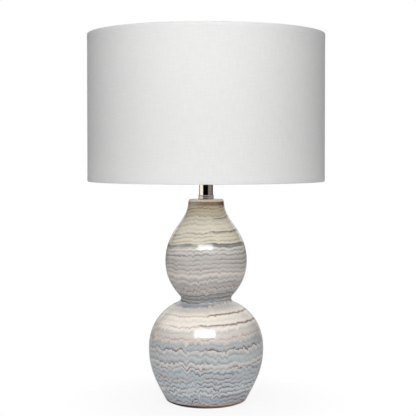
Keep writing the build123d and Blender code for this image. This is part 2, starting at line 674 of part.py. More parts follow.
def bulb_stem():
    """Glass mount inside the envelope, which carries the filament."""
    _, low, rim = bulb_levels()
    base = rim - BULB_CAP_HEIGHT / 4
    neck = BULB_NECK_RADIUS - BULB_GLASS - FIT
    flare_top = base + BULB_FLARE_HEIGHT
    flare = Bezier((neck, base), (BULB_STEM_RADIUS, (2 * base + flare_top) / 3),
                   (BULB_STEM_RADIUS, (base + 2 * flare_top) / 3), (BULB_STEM_RADIUS, flare_top))
    press, top = base + BULB_PRESS_HEIGHT, base + BULB_STEM_HEIGHT
    return turned((0, base), flare, (BULB_STEM_RADIUS, press), (BULB_ROD_RADIUS, press),
                  (BULB_ROD_RADIUS, top), (0, top))


def bulb_filament():
    """Two lead wires rising from the stem and the filament arched between them."""
    _, _, rim = bulb_levels()
    foot = rim - BULB_CAP_HEIGHT / 4 + BULB_PRESS_HEIGHT + FIT
    tip = rim - BULB_CAP_HEIGHT / 4 + BULB_STEM_HEIGHT + FILAMENT_WIRE_RADIUS + FIT
    near, half = BULB_STEM_RADIUS - 2 * FILAMENT_WIRE_RADIUS, FILAMENT_SPAN / 2
    route = [(near, 0, foot), (half, 0, tip), (-half, 0, tip), (-near, 0, foot)]
    path = FilletPolyline(*route, radius=4 * FILAMENT_WIRE_RADIUS)
    return sweep(Plane(path @ 0, z_dir=path % 0) * Circle(FILAMENT_WIRE_RADIUS), path)


# ---------------------------------------------------------------- shade and finial
def shade_fabric():
    """Fabric drum folded inwards over both rings."""
    inner, outer = fold, fold + FABRIC
    flap_low, flap_high = shade_z + HEM_DEPTH, shade_top - HEM_DEPTH
    return turned(
        folded_edge(outer, ring_z, outer), (hem_radius - outer, flap_high),
        (hem_radius - inner, flap_high), folded_edge(-inner, ring_z, inner),
        folded_edge(inner, low_ring_z, -inner), (hem_radius - inner, flap_low),
        (hem_radius - outer, flap_low), folded_edge(-outer, low_ring_z, -outer))


def folded_edge(start, z, rise):
    """Half circle in the fabric's section, from one side of the fold to the other."""
    return ThreePointArc((hem_radius + start, z), (hem_radius, z + rise), (hem_radius - start, z))


def shade_liner():
    """Stiff translucent sheet inside the fabric, between the folds."""
    return tube(liner_inside, liner_outside, low_ring_z, ring_z)


def shade_ring(z):
    """Round wire hoop inside a fold of the fabric."""
    return Pos(0, 0, z) * Torus(ring_radius, RING_WIRE_RADIUS)


def spider_hub():
    """Washer at the middle of the spider, which drops over the harp's stud."""
    return tube(SPIDER_HUB_HOLE, SPIDER_HUB_RADIUS, hub_z, hub_z + SPIDER_HUB_THICKNESS)


def spider_arms():
    """Three bent wires from the hub out and up to the top ring."""
    end = ring_z - RING_WIRE_RADIUS
    path = FilletPolyline((SPIDER_HUB_RADIUS, 0, arm_z), (ring_radius, 0, arm_z), (ring_radius, 0, end),
                          radius=SPIDER_BEND)
    arm = sweep(Plane(path @ 0, z_dir=path % 0) * Circle(RING_WIRE_RADIUS), path)
    step = 360 / SPIDER_ARMS
    return Compound(children=[Rot(0, 0, SPIDER_FIRST_ARM + step * i) * arm for i in range(SPIDER_ARMS)])


def finial():
    """Small turned knob with a blind hole over the stud."""
    low, top = finial_z, finial_z + FINIAL_HEIGHT
    ball_z = top - FINIAL_BALL_RADIUS
    neck_z = low + FINIAL_BASE_HEIGHT
    sink = (FINIAL_BALL_RADIUS**2 - FINIAL_NECK_RADIUS**2) ** 0.5
    ball = ThreePointArc((FINIAL_NECK_RADIUS, ball_z - sink), (FINIAL_BALL_RADIUS, ball_z), (0, top))
    knob = turned((0, low), (FINIAL_BASE_RADIUS, low), (FINIAL_BASE_RADIUS, neck_z),
                  (FINIAL_NECK_RADIUS, neck_z), ball)
    depth = STUD_HEIGHT - SPIDER_HUB_THICKNESS
    return knob - disc(STUD_RADIUS + SLIDE, low, low + depth)


# ---------------------------------------------------------------- write every piece
def pieces():
    """All pieces by name."""
    outside = gourd_outside()
    return {
        "felt_pad": felt_pad(),
        "gourd_body": gourd_body(outside),
        "cord_bushing": cord_bushing(outside),
        "base_plate": tube(rod_clear, BASE_PLATE_RADIUS, plate_z, floor_z),
        "lock_washer": lock_washer(),
        "base_nut": hex_nut(base_nut_z),
        "lamp_rod": lamp_rod(),
        "rod_end_bushing": rod_end_bushing(),
        "neck_ferrule": neck_ferrule(),
        "neck_tube": tube(TUBE_RADIUS - TUBE_WALL, TUBE_RADIUS, tube_z, tube_top),
        "tube_cap": tube_cap(),
        "harp_saddle": harp_saddle(),
        "saddle_nut": hex_nut(saddle_seat),
        "socket_cap": socket_cap(),
        "socket_set_screw": socket_set_screw(),
        "socket_shell": socket_shell(),
        "socket_liner": socket_liner(),
        "switch_block": switch_block(),
        "terminal_screws": terminal_screws(),
        "screw_shell": screw_shell(),
        "centre_contact": centre_contact(),
        "switch_spindle": switch_spindle(),
        "switch_knob": switch_knob(),
        "bulb_contact": bulb_contact(),
        "bulb_insulator": bulb_insulator(),
        "bulb_cap": bulb_cap(),
        "bulb_glass": bulb_glass(),
        "bulb_stem": bulb_stem(),
        "bulb_filament": bulb_filament(),
        "harp_bow": harp_bow(),
        "harp_sleeve_left": harp_sleeve(-1),
        "harp_sleeve_right": harp_sleeve(1),
        "harp_stud": harp_stud(),
        "spider_hub": spider_hub(),
        "spider_arms": spider_arms(),
        "shade_top_ring": shade_ring(ring_z),
        "shade_bottom_ring": shade_ring(low_ring_z),
        "shade_liner": shade_liner(),
        "shade_fabric": shade_fabric(),
        "finial": finial(),
    }


os.makedirs("parts", exist_ok=True)
for name, shape in pieces().items():
    export_step(shape, f"parts/{name}.step")
print(f"shade from {shade_z:.1f} to {shade_top:.1f}, finial tip at {finial_z + FINIAL_HEIGHT:.1f}")
print(f"bulb tip at {bulb_z:.1f}, lampholder rim at {shell_top:.1f}, harp seat at {seat_top:.1f}")
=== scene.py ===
# %% [markdown]
# # A glazed double gourd lamp
#
# The lamp's working pieces come from its CAD model, each at its real size and in its real place:
# gourd, neck, lampholder, bulb, harp, spider, rings and finial. This lesson dresses them. It sets up
# the camera and a pale studio, mixes one finish for each material, and models the two pieces that
# are cloth: the shade's linen and the felt under the foot.
#
# Everything is in metres, with the lamp standing on z = 0 and its axis on +Z. Its front faces -Y.

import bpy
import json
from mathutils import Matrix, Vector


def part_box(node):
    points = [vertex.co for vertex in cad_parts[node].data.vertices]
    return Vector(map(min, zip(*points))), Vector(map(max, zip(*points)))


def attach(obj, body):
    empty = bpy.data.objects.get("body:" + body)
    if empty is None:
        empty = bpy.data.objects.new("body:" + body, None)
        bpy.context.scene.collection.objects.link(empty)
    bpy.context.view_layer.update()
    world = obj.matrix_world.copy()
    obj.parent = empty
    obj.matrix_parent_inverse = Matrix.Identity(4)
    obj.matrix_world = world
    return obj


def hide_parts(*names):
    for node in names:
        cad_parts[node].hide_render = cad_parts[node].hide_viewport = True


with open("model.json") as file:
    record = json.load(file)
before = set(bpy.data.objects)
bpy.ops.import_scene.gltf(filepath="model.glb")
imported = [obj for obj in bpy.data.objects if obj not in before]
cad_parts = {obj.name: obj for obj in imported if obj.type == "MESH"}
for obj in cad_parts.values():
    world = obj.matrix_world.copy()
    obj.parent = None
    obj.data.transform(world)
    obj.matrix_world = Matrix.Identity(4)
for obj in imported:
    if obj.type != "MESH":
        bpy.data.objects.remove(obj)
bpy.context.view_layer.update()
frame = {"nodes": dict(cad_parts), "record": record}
nodes = frame["nodes"]

# %% Tools and units
import json
from math import cos, hypot, pi, radians, sin

import bmesh
import bpy
from mathutils import Matrix, Vector

MM = 0.001
scene = bpy.context.scene
scene.view_settings.view_transform = "Standard"
print("view transform:", scene.view_settings.view_transform)

# %% [markdown]
# ## The camera
#
# The photograph was taken from the front with a long lens, a little above the middle of the lamp:
# the shade's lower edge bows down and its upper edge bows up, so the lens stands level with a
# point between them. One way to frame that is a level camera with a large upward shift. A large
# shift would push the lamp out of the picture from other sides, so the camera tips down by a
# degree and a half and only the rest is shift.

# %% Camera
CAMERA_DISTANCE = 1.9955  # metres in front of the lamp's axis
CAMERA_HEIGHT = 0.458  # metres above the table
CAMERA_TIP = 1.54  # degrees downwards
LENS = 94.40  # millimetres, on a sensor 36 mm wide
SHIFT = (0.0046, -0.0660)  # of the view, to the right and down, in widths of the picture

camera_data = bpy.data.cameras.new("camera")
camera_data.sensor_width = 36
camera_data.lens = LENS
camera_data.shift_x, camera_data.shift_y = SHIFT
camera = bpy.data.objects.new("camera", camera_data)
camera.location = (0, -CAMERA_DISTANCE, CAMERA_HEIGHT)
camera.rotation_euler = (radians(90 - CAMERA_TIP), 0, 0)
scene.collection.objects.link(camera)
scene.camera = camera
print(f"camera {CAMERA_DISTANCE} m in front, {CAMERA_HEIGHT} m up, {LENS} mm lens")

# %% [markdown]
# ## Light
#
# On the photographed shade the cloth is brightest where it faces the camera and falls off evenly
# to both sides, to about half: that is one broad lamp near the camera, a little above the shade,
# with soft light from all round. A large area lamp does the first and the world does the second.
# Five more lamps help:
#
# - a high one, nearer the shade, lights its upper part a little more,
# - a low one and one at each side are narrow beams that fill in the foot and the lower gourd,
# - one stands behind, for a view of the back.
#
# What polished metal mirrors is another matter. A studio hangs white and black boards round a
# shiny object, because metal shows nothing but its surroundings. So the world is plain white to
# the camera and in reflections, and dim to cloth and clay; and the lamps, which would show as
# hard bright squares, are hidden from reflections.

# %% The world: dim light on surfaces, white where it is seen or mirrored
AMBIENT = 0.29  # where 1 would light a white surface fully

world = bpy.data.worlds.new("studio")
world.use_nodes = True
scene.world = world
sky = world.node_tree
backdrop = sky.nodes["Background"]
backdrop.inputs["Color"].default_value = (1, 1, 1, 1)
soft_light = sky.nodes.new("ShaderNodeBackground")
soft_light.inputs["Color"].default_value = (AMBIENT, AMBIENT, AMBIENT, 1)
rays = sky.nodes.new("ShaderNodeLightPath")
seen = rays.outputs["Is Camera Ray"]
for kind in ("Is Glossy Ray", "Is Transmission Ray"):
    either = sky.nodes.new("ShaderNodeMath")
    either.operation = "MAXIMUM"
    sky.links.new(seen, either.inputs[0])
    sky.links.new(rays.outputs[kind], either.inputs[1])
    seen = either.outputs[0]
choose = sky.nodes.new("ShaderNodeMixShader")
sky.links.new(seen, choose.inputs["Fac"])
sky.links.new(soft_light.outputs[0], choose.inputs[1])
sky.links.new(backdrop.outputs[0], choose.inputs[2])
sky.links.new(choose.outputs[0], sky.nodes["World Output"].inputs["Surface"])
print("world light on surfaces:", AMBIENT)

# %% Six lamps
def area_lamp(name, watts, place, aim, size, beam=180):
    """Square lamp whose light leaves within a beam of that many degrees; reflections don't show it."""
    data = bpy.data.lights.new(name, "AREA")
    data.energy = watts
    data.size = size
    data.spread = radians(beam)
    lamp = bpy.data.objects.new(name, data)
    lamp.location = place
    lamp.rotation_euler = (Vector(aim) - Vector(place)).to_track_quat("-Z", "Y").to_euler()
    lamp.visible_glossy = False
    scene.collection.objects.link(lamp)
    print(f"{name}: {watts} W, {size} m across")


area_lamp("front_lamp", 14.6, place=(-0.02, -2.0, 0.80), aim=(0, 0, 0.35), size=0.5)
area_lamp("high_lamp", 3.9, place=(-0.05, -0.9, 1.42), aim=(0, 0, 0.42), size=0.5)
area_lamp("low_lamp", 0.17, place=(0, -1.7, 0.10), aim=(0, 0, 0.02), size=0.3, beam=27)
area_lamp("left_fill", 0.15, place=(-1.6, -0.75, 0.14), aim=(0, 0, 0.02), size=0.3, beam=25)
area_lamp("right_fill", 0.13, place=(1.6, -0.75, 0.14), aim=(0, 0, 0.02), size=0.3, beam=25)
area_lamp("back_lamp", 13.0, place=(0.3, 2.0, 0.9), aim=(0, 0, 0.35), size=0.5)

# %% [markdown]
# ## A short way to write a finish
#
# Each material below is a network of nodes round one Principled shader. Written out in full, each
# node takes four or five lines. This small class keeps one material's tree and adds a node in one
# line, so that a finish reads as a recipe. `self.place` is the point on the piece in Object
# coordinates, in millimetres, so that a scale is a real size: a noise of size 20 has 20 mm blotches.
# A Math node takes two values; `total` and `product` chain as many of them as a sum or product needs.
#
# The class comes in two halves: one for nodes that calculate, and one for what makes the surface.

# %% Nodes that calculate
class NodeMaths:
    """A material's tree, with short ways to add nodes that calculate."""

    def __init__(self, name):
        self.material = bpy.data.materials.new(name)
        self.material.use_nodes = True
        self.tree = self.material.node_tree
        self.shader = self.tree.nodes["Principled BSDF"]
        metres = self.node("TexCoord").outputs["Object"]
        self.place = self.vector("SCALE", metres, Scale=1000)

    def node(self, kind, inputs=None, **settings):
        """Adds a node; inputs has a value or another node's output for each socket."""
        made = self.tree.nodes.new("ShaderNode" + kind)
        for name, value in settings.items():
            setattr(made, name, value)
        for socket, value in (inputs or {}).items():
            self.plug(value, made.inputs[socket])
        return made

    def plug(self, value, socket):
        """Links an output to a socket, or sets its value; a colour may come without its alpha."""
        if isinstance(value, bpy.types.NodeSocket):
            self.tree.links.new(value, socket)
        elif hasattr(value, "__len__") and len(value) == 3 and len(socket.default_value) == 4:
            socket.default_value = (*value, 1)
        else:
            socket.default_value = value

    def maths(self, operation, *values):
        """What a Math node makes of its values."""
        inputs = dict(enumerate(values))
        return self.node("Math", inputs, operation=operation).outputs[0]

    def total(self, first, *others):
        """All values added up."""
        for value in others:
            first = self.maths("ADD", first, value)
        return first

    def product(self, first, *others):
        """All values multiplied together."""
        for value in others:
            first = self.maths("MULTIPLY", first, value)
        return first

    def apart(self, first, second):
        """How far two values are apart."""
        return self.maths("ABSOLUTE", self.maths("SUBTRACT", first, second))

    def vector(self, operation, *values, **named):
        """What a Vector Math node makes of its values; named ones go to the sockets of that name."""
        made = self.node("VectorMath", {**dict(enumerate(values)), **named}, operation=operation)
        return made.outputs["Value" if operation == "LENGTH" else "Vector"]

    def split(self, vector):
        """A vector's x, y and z."""
        return self.node("SeparateXYZ", {0: vector}).outputs

    def join(self, x=0.0, y=0.0, z=0.0):
        """A vector from its x, y and z."""
        return self.node("CombineXYZ", {0: x, 1: y, 2: z}).outputs[0]

    def channels(self, colour):
        """A colour's red, green and blue."""
        return self.node("SeparateColor", {0: colour}).outputs


print("class for nodes that calculate ready")

# %% Nodes that make a surface
class Finish(NodeMaths):
    """A material under construction: its noises, ramps and relief, and the surface itself."""

    def noise(self, size, where=None, detail=2.0, roughness=0.5):
        """Value from 0 to 1 that drifts in blotches of about size millimetres."""
        where = where or self.place
        inputs = {"Vector": where, "Scale": 1 / size, "Detail": detail, "Roughness": roughness}
        return self.node("TexNoise", inputs).outputs["Fac"]

    def spread(self, value, low, high, to_low=0.0, to_high=1.0, curve="SMOOTHSTEP"):
        """Value from low to high, carried smoothly to to_low to to_high."""
        inputs = {"Value": value, "From Min": low, "From Max": high, "To Min": to_low, "To Max": to_high}
        return self.node("MapRange", inputs, interpolation_type=curve).outputs[0]

    def straight(self, value, low, high, to_low=0.0, to_high=1.0):
        """Value from low to high, carried in proportion to to_low to to_high."""
        return self.spread(value, low, high, to_low, to_high, curve="LINEAR")

    def ramp(self, value, stops):
        """Colour for a value from 0 to 1; stops is a list of (value, colour)."""
        made = self.node("ValToRGB", {"Fac": value})
        band = made.color_ramp
        for index, (at, colour) in enumerate(stops):
            stop = band.elements[index] if index < 2 else band.elements.new(at)
            stop.position = at
            stop.color = (*colour, 1)
        return made.outputs["Color"]

    def mix(self, factor, first, second, blend="MIX"):
        """First colour at a factor of 0, and second, or the two blended, at 1."""
        inputs = {"Factor": factor, "A": first, "B": second}
        made = self.node("Mix", data_type="RGBA", blend_type=blend)
        sockets = {s.name: s for s in made.inputs if s.type in ("RGBA", "VALUE") and s.enabled}
        for name, value in inputs.items():
            self.plug(value, sockets[name])
        return next(s for s in made.outputs if s.enabled)

    def bump(self, height, distance, strength=1.0, under=None):
        """Relief from a height between 0 and 1, distance millimetres deep."""
        inputs = {"Height": height, "Distance": distance * MM, "Strength": strength}
        if under:
            inputs["Normal"] = under
        return self.node("Bump", inputs).outputs["Normal"]

    def surface(self, **values):
        """Sets or links sockets of the shader: base_color, roughness, metallic and so on."""
        for name, value in values.items():
            socket = name.replace("_", " ").title().replace("Ior", "IOR")
            self.plug(value, self.shader.inputs[socket])
        return self.material

    def show(self, shader):
        """Shows another shader node on the surface instead of the Principled one."""
        self.plug(shader.outputs[0], self.tree.nodes["Material Output"].inputs["Surface"])
        return self.material


def srgb(red, green, blue):
    """A colour as a paint program gives it, from 0 to 255, turned into the shader's linear values."""
    shares = (red / 255, green / 255, blue / 255)
    return tuple(c / 12.92 if c <= 0.04045 else ((c + 0.055) / 1.055) ** 2.4 for c in shares)


print("white is", srgb(255, 255, 255))

# %% [markdown]
# ## The floor
#
# The floor is a plain pale sheet. The photograph's background is pure white right down to the
# foot, so the camera sees the floor mostly as white paper that glows by itself, with a share of
# its real shading left in to keep the lamp's contact shadow. The share fades with distance, so no
# horizon line shows.

# %% Floor paper
FLOOR_SHADING = 0.12  # share of real shading the camera sees beside the foot
SHADOW_REACH = (70, 300)  # millimetres from the axis where that share starts to fade and ends

floor_paper = Finish("floor_paper")
flat_place = floor_paper.vector("MULTIPLY", floor_paper.place, (1, 1, 0))
away = floor_paper.vector("LENGTH", flat_place)
shading = floor_paper.spread(away, *SHADOW_REACH, FLOOR_SHADING, 0)
grain = floor_paper.noise(3, detail=4)
paper = floor_paper.mix(grain, (0.84, 0.84, 0.84), (0.88, 0.88, 0.88))
floor_paper.surface(base_color=paper, roughness=0.9, specular_ior_level=0)
camera_ray = floor_paper.node("LightPath").outputs["Is Camera Ray"]
glow = floor_paper.product(camera_ray, floor_paper.maths("SUBTRACT", 1, shading))
white = floor_paper.node("Emission", {"Color": (1, 1, 1), "Strength": 1.0}).outputs[0]
shaded = floor_paper.shader.outputs[0]
floor_paper.show(floor_paper.node("MixShader", {0: glow, 1: shaded, 2: white}))
print(f"floor paper keeps {FLOOR_SHADING:.0%} of its shading beside the foot")

# %% Floor
FLOOR_REACH = 8.0


def new_mesh(name, shape):
    """Turns a bmesh into an object at the origin and links it to the scene."""
    mesh = bpy.data.meshes.new(name)
    shape.to_mesh(mesh)
    shape.free()
    made = bpy.data.objects.new(name, mesh)
    scene.collection.objects.link(made)
    return made


floor_shape = bmesh.new()
bmesh.ops.create_grid(floor_shape, x_segments=1, y_segments=1, size=FLOOR_REACH)
floor = new_mesh("floor", floor_shape)
floor.data.materials.append(floor_paper.material)
print(f"floor {2 * FLOOR_REACH} m square")

# %% [markdown]
# ## The boards
#
# The boards are curved strips round the lamp that only reflections can see. The polished neck in
# the photograph mirrors them from left to right as grey, white, black and warm grey. The glaze
# mirrors them too, near its outline, where any shiny surface mirrors more. So the white board is
# only as tall as the neck needs, and darker ones under and over it keep the lobes' flanks dark.
# Further round, two tall black strips darken a narrow band near each side of the gourd, and two low
# ones, a little nearer than the rest, make the neck's outer edges nearly black.

# %% Things that only a reflection shows
def glowing(name, brightness):
    """Material that gives off even white light."""
    made = Finish(name)
    return made.show(made.node("Emission", {"Color": (1, 1, 1), "Strength": brightness}))


def only_mirrored(thing):
    """Hides a thing from the camera and keeps its light and shadow off everything else."""
    thing.visible_camera = False
    thing.visible_diffuse = False
    thing.visible_transmission = False
    thing.visible_shadow = False


print("helpers for boards and panels ready")

# %% Boards
BOARD_DISTANCE = 2.6
BOARD_STEP = 5  # degrees between a board's upright edges


def board(name, left, right, low, high, brightness, distance=BOARD_DISTANCE):
    """Curved board round the lamp from one bearing to another, in degrees from the front."""
    shape = bmesh.new()
    start = Matrix.Rotation(radians(left), 3, "Z") @ Vector((0, -distance, 0))
    post = [shape.verts.new((start.x, start.y, z)) for z in (low, high)]
    edge = shape.edges.new(post)
    steps = max(1, round((right - left) / BOARD_STEP))
    bmesh.ops.spin(shape, geom=[*post, edge], axis=(0, 0, 1), cent=(0, 0, 0),
                   angle=radians(right - left), steps=steps)
    made = new_mesh(name, shape)
    made.data.materials.append(glowing(name, brightness))
    only_mirrored(made)


# Bearings from left to right, heights from low to high in metres, and brightness
board("black_board", -52, 34, 0.0, 1.2, 0.0)
board("white_board", -113, -52, 0.24, 0.37, 1.25)
board("left_low_board", -131, -52, 0.0, 0.24, 0.1)
board("left_high_board", -131, -52, 0.37, 1.3, 0.1)
board("grey_board", 34, 126, 0.0, 1.6, 0.25)
board("left_black_strip", -148, -131, 0.0, 1.6, 0.0)
board("right_black_strip", 126, 143, 0.0, 1.6, 0.0)
board("left_neck_strip", -178, -131, 0.20, 0.42, 0.02, distance=2.5)
board("right_neck_strip", 112, 178, 0.20, 0.42, 0.04, distance=2.5)
print("nine boards set")

# %% [markdown]
# ## The softbox in the glaze
#
# The glaze shows two small bright rectangles, one on each lobe: the mirror image of a lit panel
# that hangs in front of the lamp, higher than its shade. It is a flat panel that only reflections
# see. Glaze mirrors about 4% of what faces it, so the panel is far brighter than white to show as
# near white.

# %% Softbox
SOFTBOX_CENTRE = Vector((-0.055, -1.21, 1.13))
SOFTBOX_AIM = Vector((0, 0, 0.25))
SOFTBOX_SIZE = (1.10, 0.56)
SOFTBOX_BRIGHTNESS = 13.0

softbox_shape = bmesh.new()
bmesh.ops.create_grid(softbox_shape, x_segments=1, y_segments=1, size=0.5)
bmesh.ops.scale(softbox_shape, vec=(*SOFTBOX_SIZE, 1), verts=softbox_shape.verts)
turn = (SOFTBOX_AIM - SOFTBOX_CENTRE).to_track_quat("-Z", "Y").to_matrix().to_4x4()
hung = Matrix.Translation(SOFTBOX_CENTRE) @ turn
bmesh.ops.transform(softbox_shape, matrix=hung, verts=softbox_shape.verts)
softbox = new_mesh("softbox", softbox_shape)
softbox.data.materials.append(glowing("softbox_panel", SOFTBOX_BRIGHTNESS))
only_mirrored(softbox)
print("softbox", SOFTBOX_SIZE, "m")

# %% [markdown]
# ## The reactive glaze
#
# The gourd is stoneware under a glaze that ran in the kiln. It was laid on in rings; each ring
# sagged and broke into the next, which left a thin dark brown line where they met, a blue-grey
# bloom above the line and a cream edge below it. The lines run round the lamp nearly level. They
# wander a few millimetres, jump in small steps, and hang down in sharp points where the glaze ran
# most, at the same bearings on several rings. On the flat shoulder under the waist it ran least.
#
# A picture could be wrapped round the gourd, but this finish is made from its causes instead, so
# it stays sharp and goes all the way round without a seam:
#
# 1. start from the height of each point,
# 2. add the wander, the steps, the drips and the beads: that is the height the glaze came from,
# 3. number the rings by that height, so that the fraction says how far a point is from a line,
# 4. colour each ring by its height, and its line, bloom and edge by the fraction,
# 5. add what isn't a ring: a teal belt, dark lines of their own, and the brown lip, partly burnt glaze
#    and partly painted shade, under a rim painted lighter,
# 6. tint the rings and their fine streaks, and leave the foot's clay bare, with a painted shadow on its
#    left.

# %% Heights and bearings on the gourd
gourd_low, gourd_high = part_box("gourd_body")
FOOT_HEIGHT = gourd_low.z / MM
GIRTH = 85.0  # radius in millimetres that stands for the whole gourd, so a drip keeps to one bearing

glaze = Finish("reactive_glaze")
x, y, height = glaze.split(glaze.place)
around = glaze.vector("SCALE", glaze.vector("NORMALIZE", glaze.join(x, y)), Scale=GIRTH)
bearing_x, bearing_y, _ = glaze.split(around)


def drifting(rise):
    """Point on an even drum whose height counts for only a share, so patterns stretch upwards."""
    return glaze.join(bearing_x, bearing_y, glaze.product(height, rise))


print(f"gourd from {FOOT_HEIGHT:.0f} to {gourd_high.z / MM:.0f} mm")

# %% Wander, steps, drips and beads
# Every height and depth here is in millimetres, and every size is that of a blotch of noise
WANDER, WANDER_SIZE = 9, 75
STEP, STEP_SIZE = 1.3, 7
LOW_DRIP, HIGH_DRIP, DRIP_SIZE = 8.0, 3.5, 27
BEAD, BEAD_SIZE = 2.0, 9


def cusps(size, rise, sharpness):
    """Thin upright ridges, 1 along their crest and falling off to 0 on both sides."""
    off_crest = glaze.apart(glaze.noise(size, drifting(rise), detail=1.5), 0.5)
    return glaze.maths("EXPONENT", glaze.product(off_crest, -sharpness))


wander = glaze.straight(glaze.noise(WANDER_SIZE, drifting(0.7), detail=1), 0, 1, -WANDER, WANDER)
drip_depth = glaze.product(glaze.spread(height, 20, 75, LOW_DRIP, HIGH_DRIP),
                           glaze.spread(height, 275, 300, 1.0, 0.6))
drips = glaze.product(cusps(DRIP_SIZE, 0.22, 20), drip_depth)
busy = glaze.spread(height, 200, 250, 2.2, 0.5)  # the upper lobe's rings are smoother
beads = glaze.product(cusps(BEAD_SIZE, 0.3, 22), busy, BEAD)
jogs = glaze.straight(glaze.noise(STEP_SIZE, drifting(0.16), detail=2), 0.3, 0.7, -STEP, STEP)
steps = glaze.product(jogs, busy)
print(f"the glaze wanders {WANDER} mm and drips up to {LOW_DRIP} mm")

# %% The height each point's glaze came from
SHOULDER_STARTS, SHOULDER_ENDS = (131, 148), (176, 197)
CALM = 0.4  # share of the movement left on the shoulder between them
RISE = 0.035  # how far the rings rise for each millimetre to the right

calm = glaze.maths("MAXIMUM", glaze.spread(height, *SHOULDER_STARTS, 1.0, CALM),
                   glaze.spread(height, *SHOULDER_ENDS, CALM, 1.0))
tilt = glaze.product(bearing_x, -RISE)
moved = glaze.total(wander, steps, drips, beads)
source = glaze.total(height, tilt, glaze.product(moved, calm))

# Long drips on the front: bearing in degrees, depth and the heights between which it hangs
LONG_DRIPS = [(-19.5, 4.5, 66, 122), (8.5, 3.0, 36, 96)]
LOW_FADE, HIGH_FADE = 6, 4  # how far either side of those heights it fades
NARROWING = 0.9  # how fast it narrows to its sides, for each degree
bearing = glaze.maths("DEGREES", glaze.maths("ARCTAN2", x, glaze.product(y, -1)))
for drip_bearing, depth, low_end, high_end in LONG_DRIPS:
    aside = glaze.apart(bearing, drip_bearing)
    point = glaze.maths("EXPONENT", glaze.product(aside, -NARROWING))
    hang = glaze.product(glaze.spread(height, low_end - LOW_FADE, low_end + LOW_FADE),
                         glaze.spread(height, high_end - HIGH_FADE, high_end + HIGH_FADE, depth, 0))
    source = glaze.total(source, glaze.product(point, hang))
print("source height made, with", len(LONG_DRIPS), "long drips")

# %% Number the rings
GLAZE_SPAN = 380.0  # millimetres of height that the curve and the ramps cover
# Line heights in millimetres from the table, from the foot to the lip
RING_LINES = [
    4, 10, 17, 26, 36, 45, 54, 62, 72, 81, 90, 101, 112, 120, 131, 141, 150, 159, 167, 175, 182, 190,
    198, 206, 215, 224, 232, 243, 250, 258, 265, 274, 281, 287, 298, 305, 312, 319, 328, 336, 343, 351,
    357, 363, 369, 376,
]
RINGS = len(RING_LINES) + 1

# The curve turns a corner at each line, so that every ring is one whole number tall
source_share = glaze.maths("DIVIDE", source, GLAZE_SPAN)
ring_curve = glaze.node("FloatCurve", {"Value": source_share})
curve = ring_curve.mapping.curves[0]
curve.points[0].location = (0, 0)
curve.points[1].location = (1, 1)
for number, line_height in enumerate(RING_LINES, start=1):
    curve.points.new(line_height / GLAZE_SPAN, number / RINGS)
for knot in curve.points:
    knot.handle_type = "VECTOR"
ring_curve.mapping.update()
ring_number = glaze.product(ring_curve.outputs[0], RINGS)
within = glaze.maths("FRACT", ring_number)
nearest = glaze.maths("FLOOR", glaze.total(ring_number, 0.5))
print(RINGS, "rings numbered")

# %% Line, bloom and edge within one ring
# A colour carries three values at once: red is the dark line, green the blue-grey bloom above it and
# blue the cream edge below the next line
WITHIN_RING = [
    (0.00, (1.0, 0.0, 0.0)), (0.14, (0.9, 0.2, 0.0)), (0.23, (0.1, 1.0, 0.0)), (0.44, (0.0, 0.7, 0.0)),
    (0.64, (0.0, 0.0, 0.15)), (0.80, (0.0, 0.0, 0.7)), (0.93, (0.0, 0.0, 1.0)), (0.98, (0.8, 0.0, 0.5)),
]
# How strong each of them is by height: strong at the waist, the belt and low down, faint on ivory
STRENGTH_BY_HEIGHT = [
    (0, (1.0, 0.7, 0.3)), (60, (0.9, 0.75, 0.25)), (82, (0.9, 0.8, 0.3)), (96, (1.0, 0.9, 0.5)),
    (104, (1.0, 0.7, 0.8)), (110, (1.0, 1.0, 0.8)), (117, (1.0, 1.0, 0.5)), (124, (0.4, 0.4, 0.2)),
    (140, (0.4, 0.1, 0.2)), (176, (0.45, 0.1, 0.3)), (180, (0.6, 0.3, 0.4)), (186, (1.0, 0.9, 0.7)),
    (200, (1.0, 1.0, 0.7)), (210, (0.75, 0.6, 0.3)), (255, (0.7, 0.5, 0.45)), (274, (0.85, 0.5, 0.6)),
    (282, (1.0, 0.8, 1.0)), (292, (0.7, 0.6, 0.4)), (299, (0.65, 0.25, 0.4)), (330, (0.7, 0.25, 0.4)),
    (371, (0.9, 0.3, 0.3)),
]


def by_source(stops):
    """Colour by the height the glaze came from; stops is a list of (height, colour)."""
    return glaze.ramp(source_share, [(stop / GLAZE_SPAN, colour) for stop, colour in stops])


line_trace, bloom_trace, edge_trace = glaze.channels(glaze.ramp(within, WITHIN_RING))
line_zone, bloom_zone, edge_zone = glaze.channels(by_source(STRENGTH_BY_HEIGHT))
print("traces within a ring, and their strength by height, made")

# %% Ground colour by height
SLATE, STEEL, COLD = srgb(143, 151, 155), srgb(168, 175, 179), srgb(164, 173, 181)
MIST, POOL_BLUE, ROSE_GREY = srgb(188, 194, 199), srgb(172, 183, 192), srgb(177, 174, 172)
STONE, PALE_STONE, BISQUE = srgb(196, 192, 188), srgb(206, 202, 198), srgb(218, 210, 200)
HAZE, IVORY = srgb(233, 228, 223), srgb(250, 243, 232)
CREAM, FAWN = srgb(243, 233, 212), srgb(213, 197, 171)
# One colour ramp holds no more than these 32 stops
GROUND_BY_HEIGHT = [
    (22, COLD), (33, MIST), (48, MIST), (60, STEEL), (76, STEEL), (88, STONE), (96, STEEL),
    (104, ROSE_GREY), (110, STONE), (117, STEEL), (127, STONE), (138, BISQUE), (149, HAZE),
    (157, IVORY), (171, IVORY), (180, HAZE), (187, POOL_BLUE), (192, SLATE), (201, SLATE),
    (210, ROSE_GREY), (226, ROSE_GREY), (236, PALE_STONE), (243, BISQUE), (251, STONE), (260, STONE),
    (270, PALE_STONE), (286, HAZE), (297, CREAM), (320, IVORY), (338, CREAM), (347, FAWN), (357, FAWN),
]
ground = by_source(GROUND_BY_HEIGHT)
print(len(GROUND_BY_HEIGHT), "ground colours")

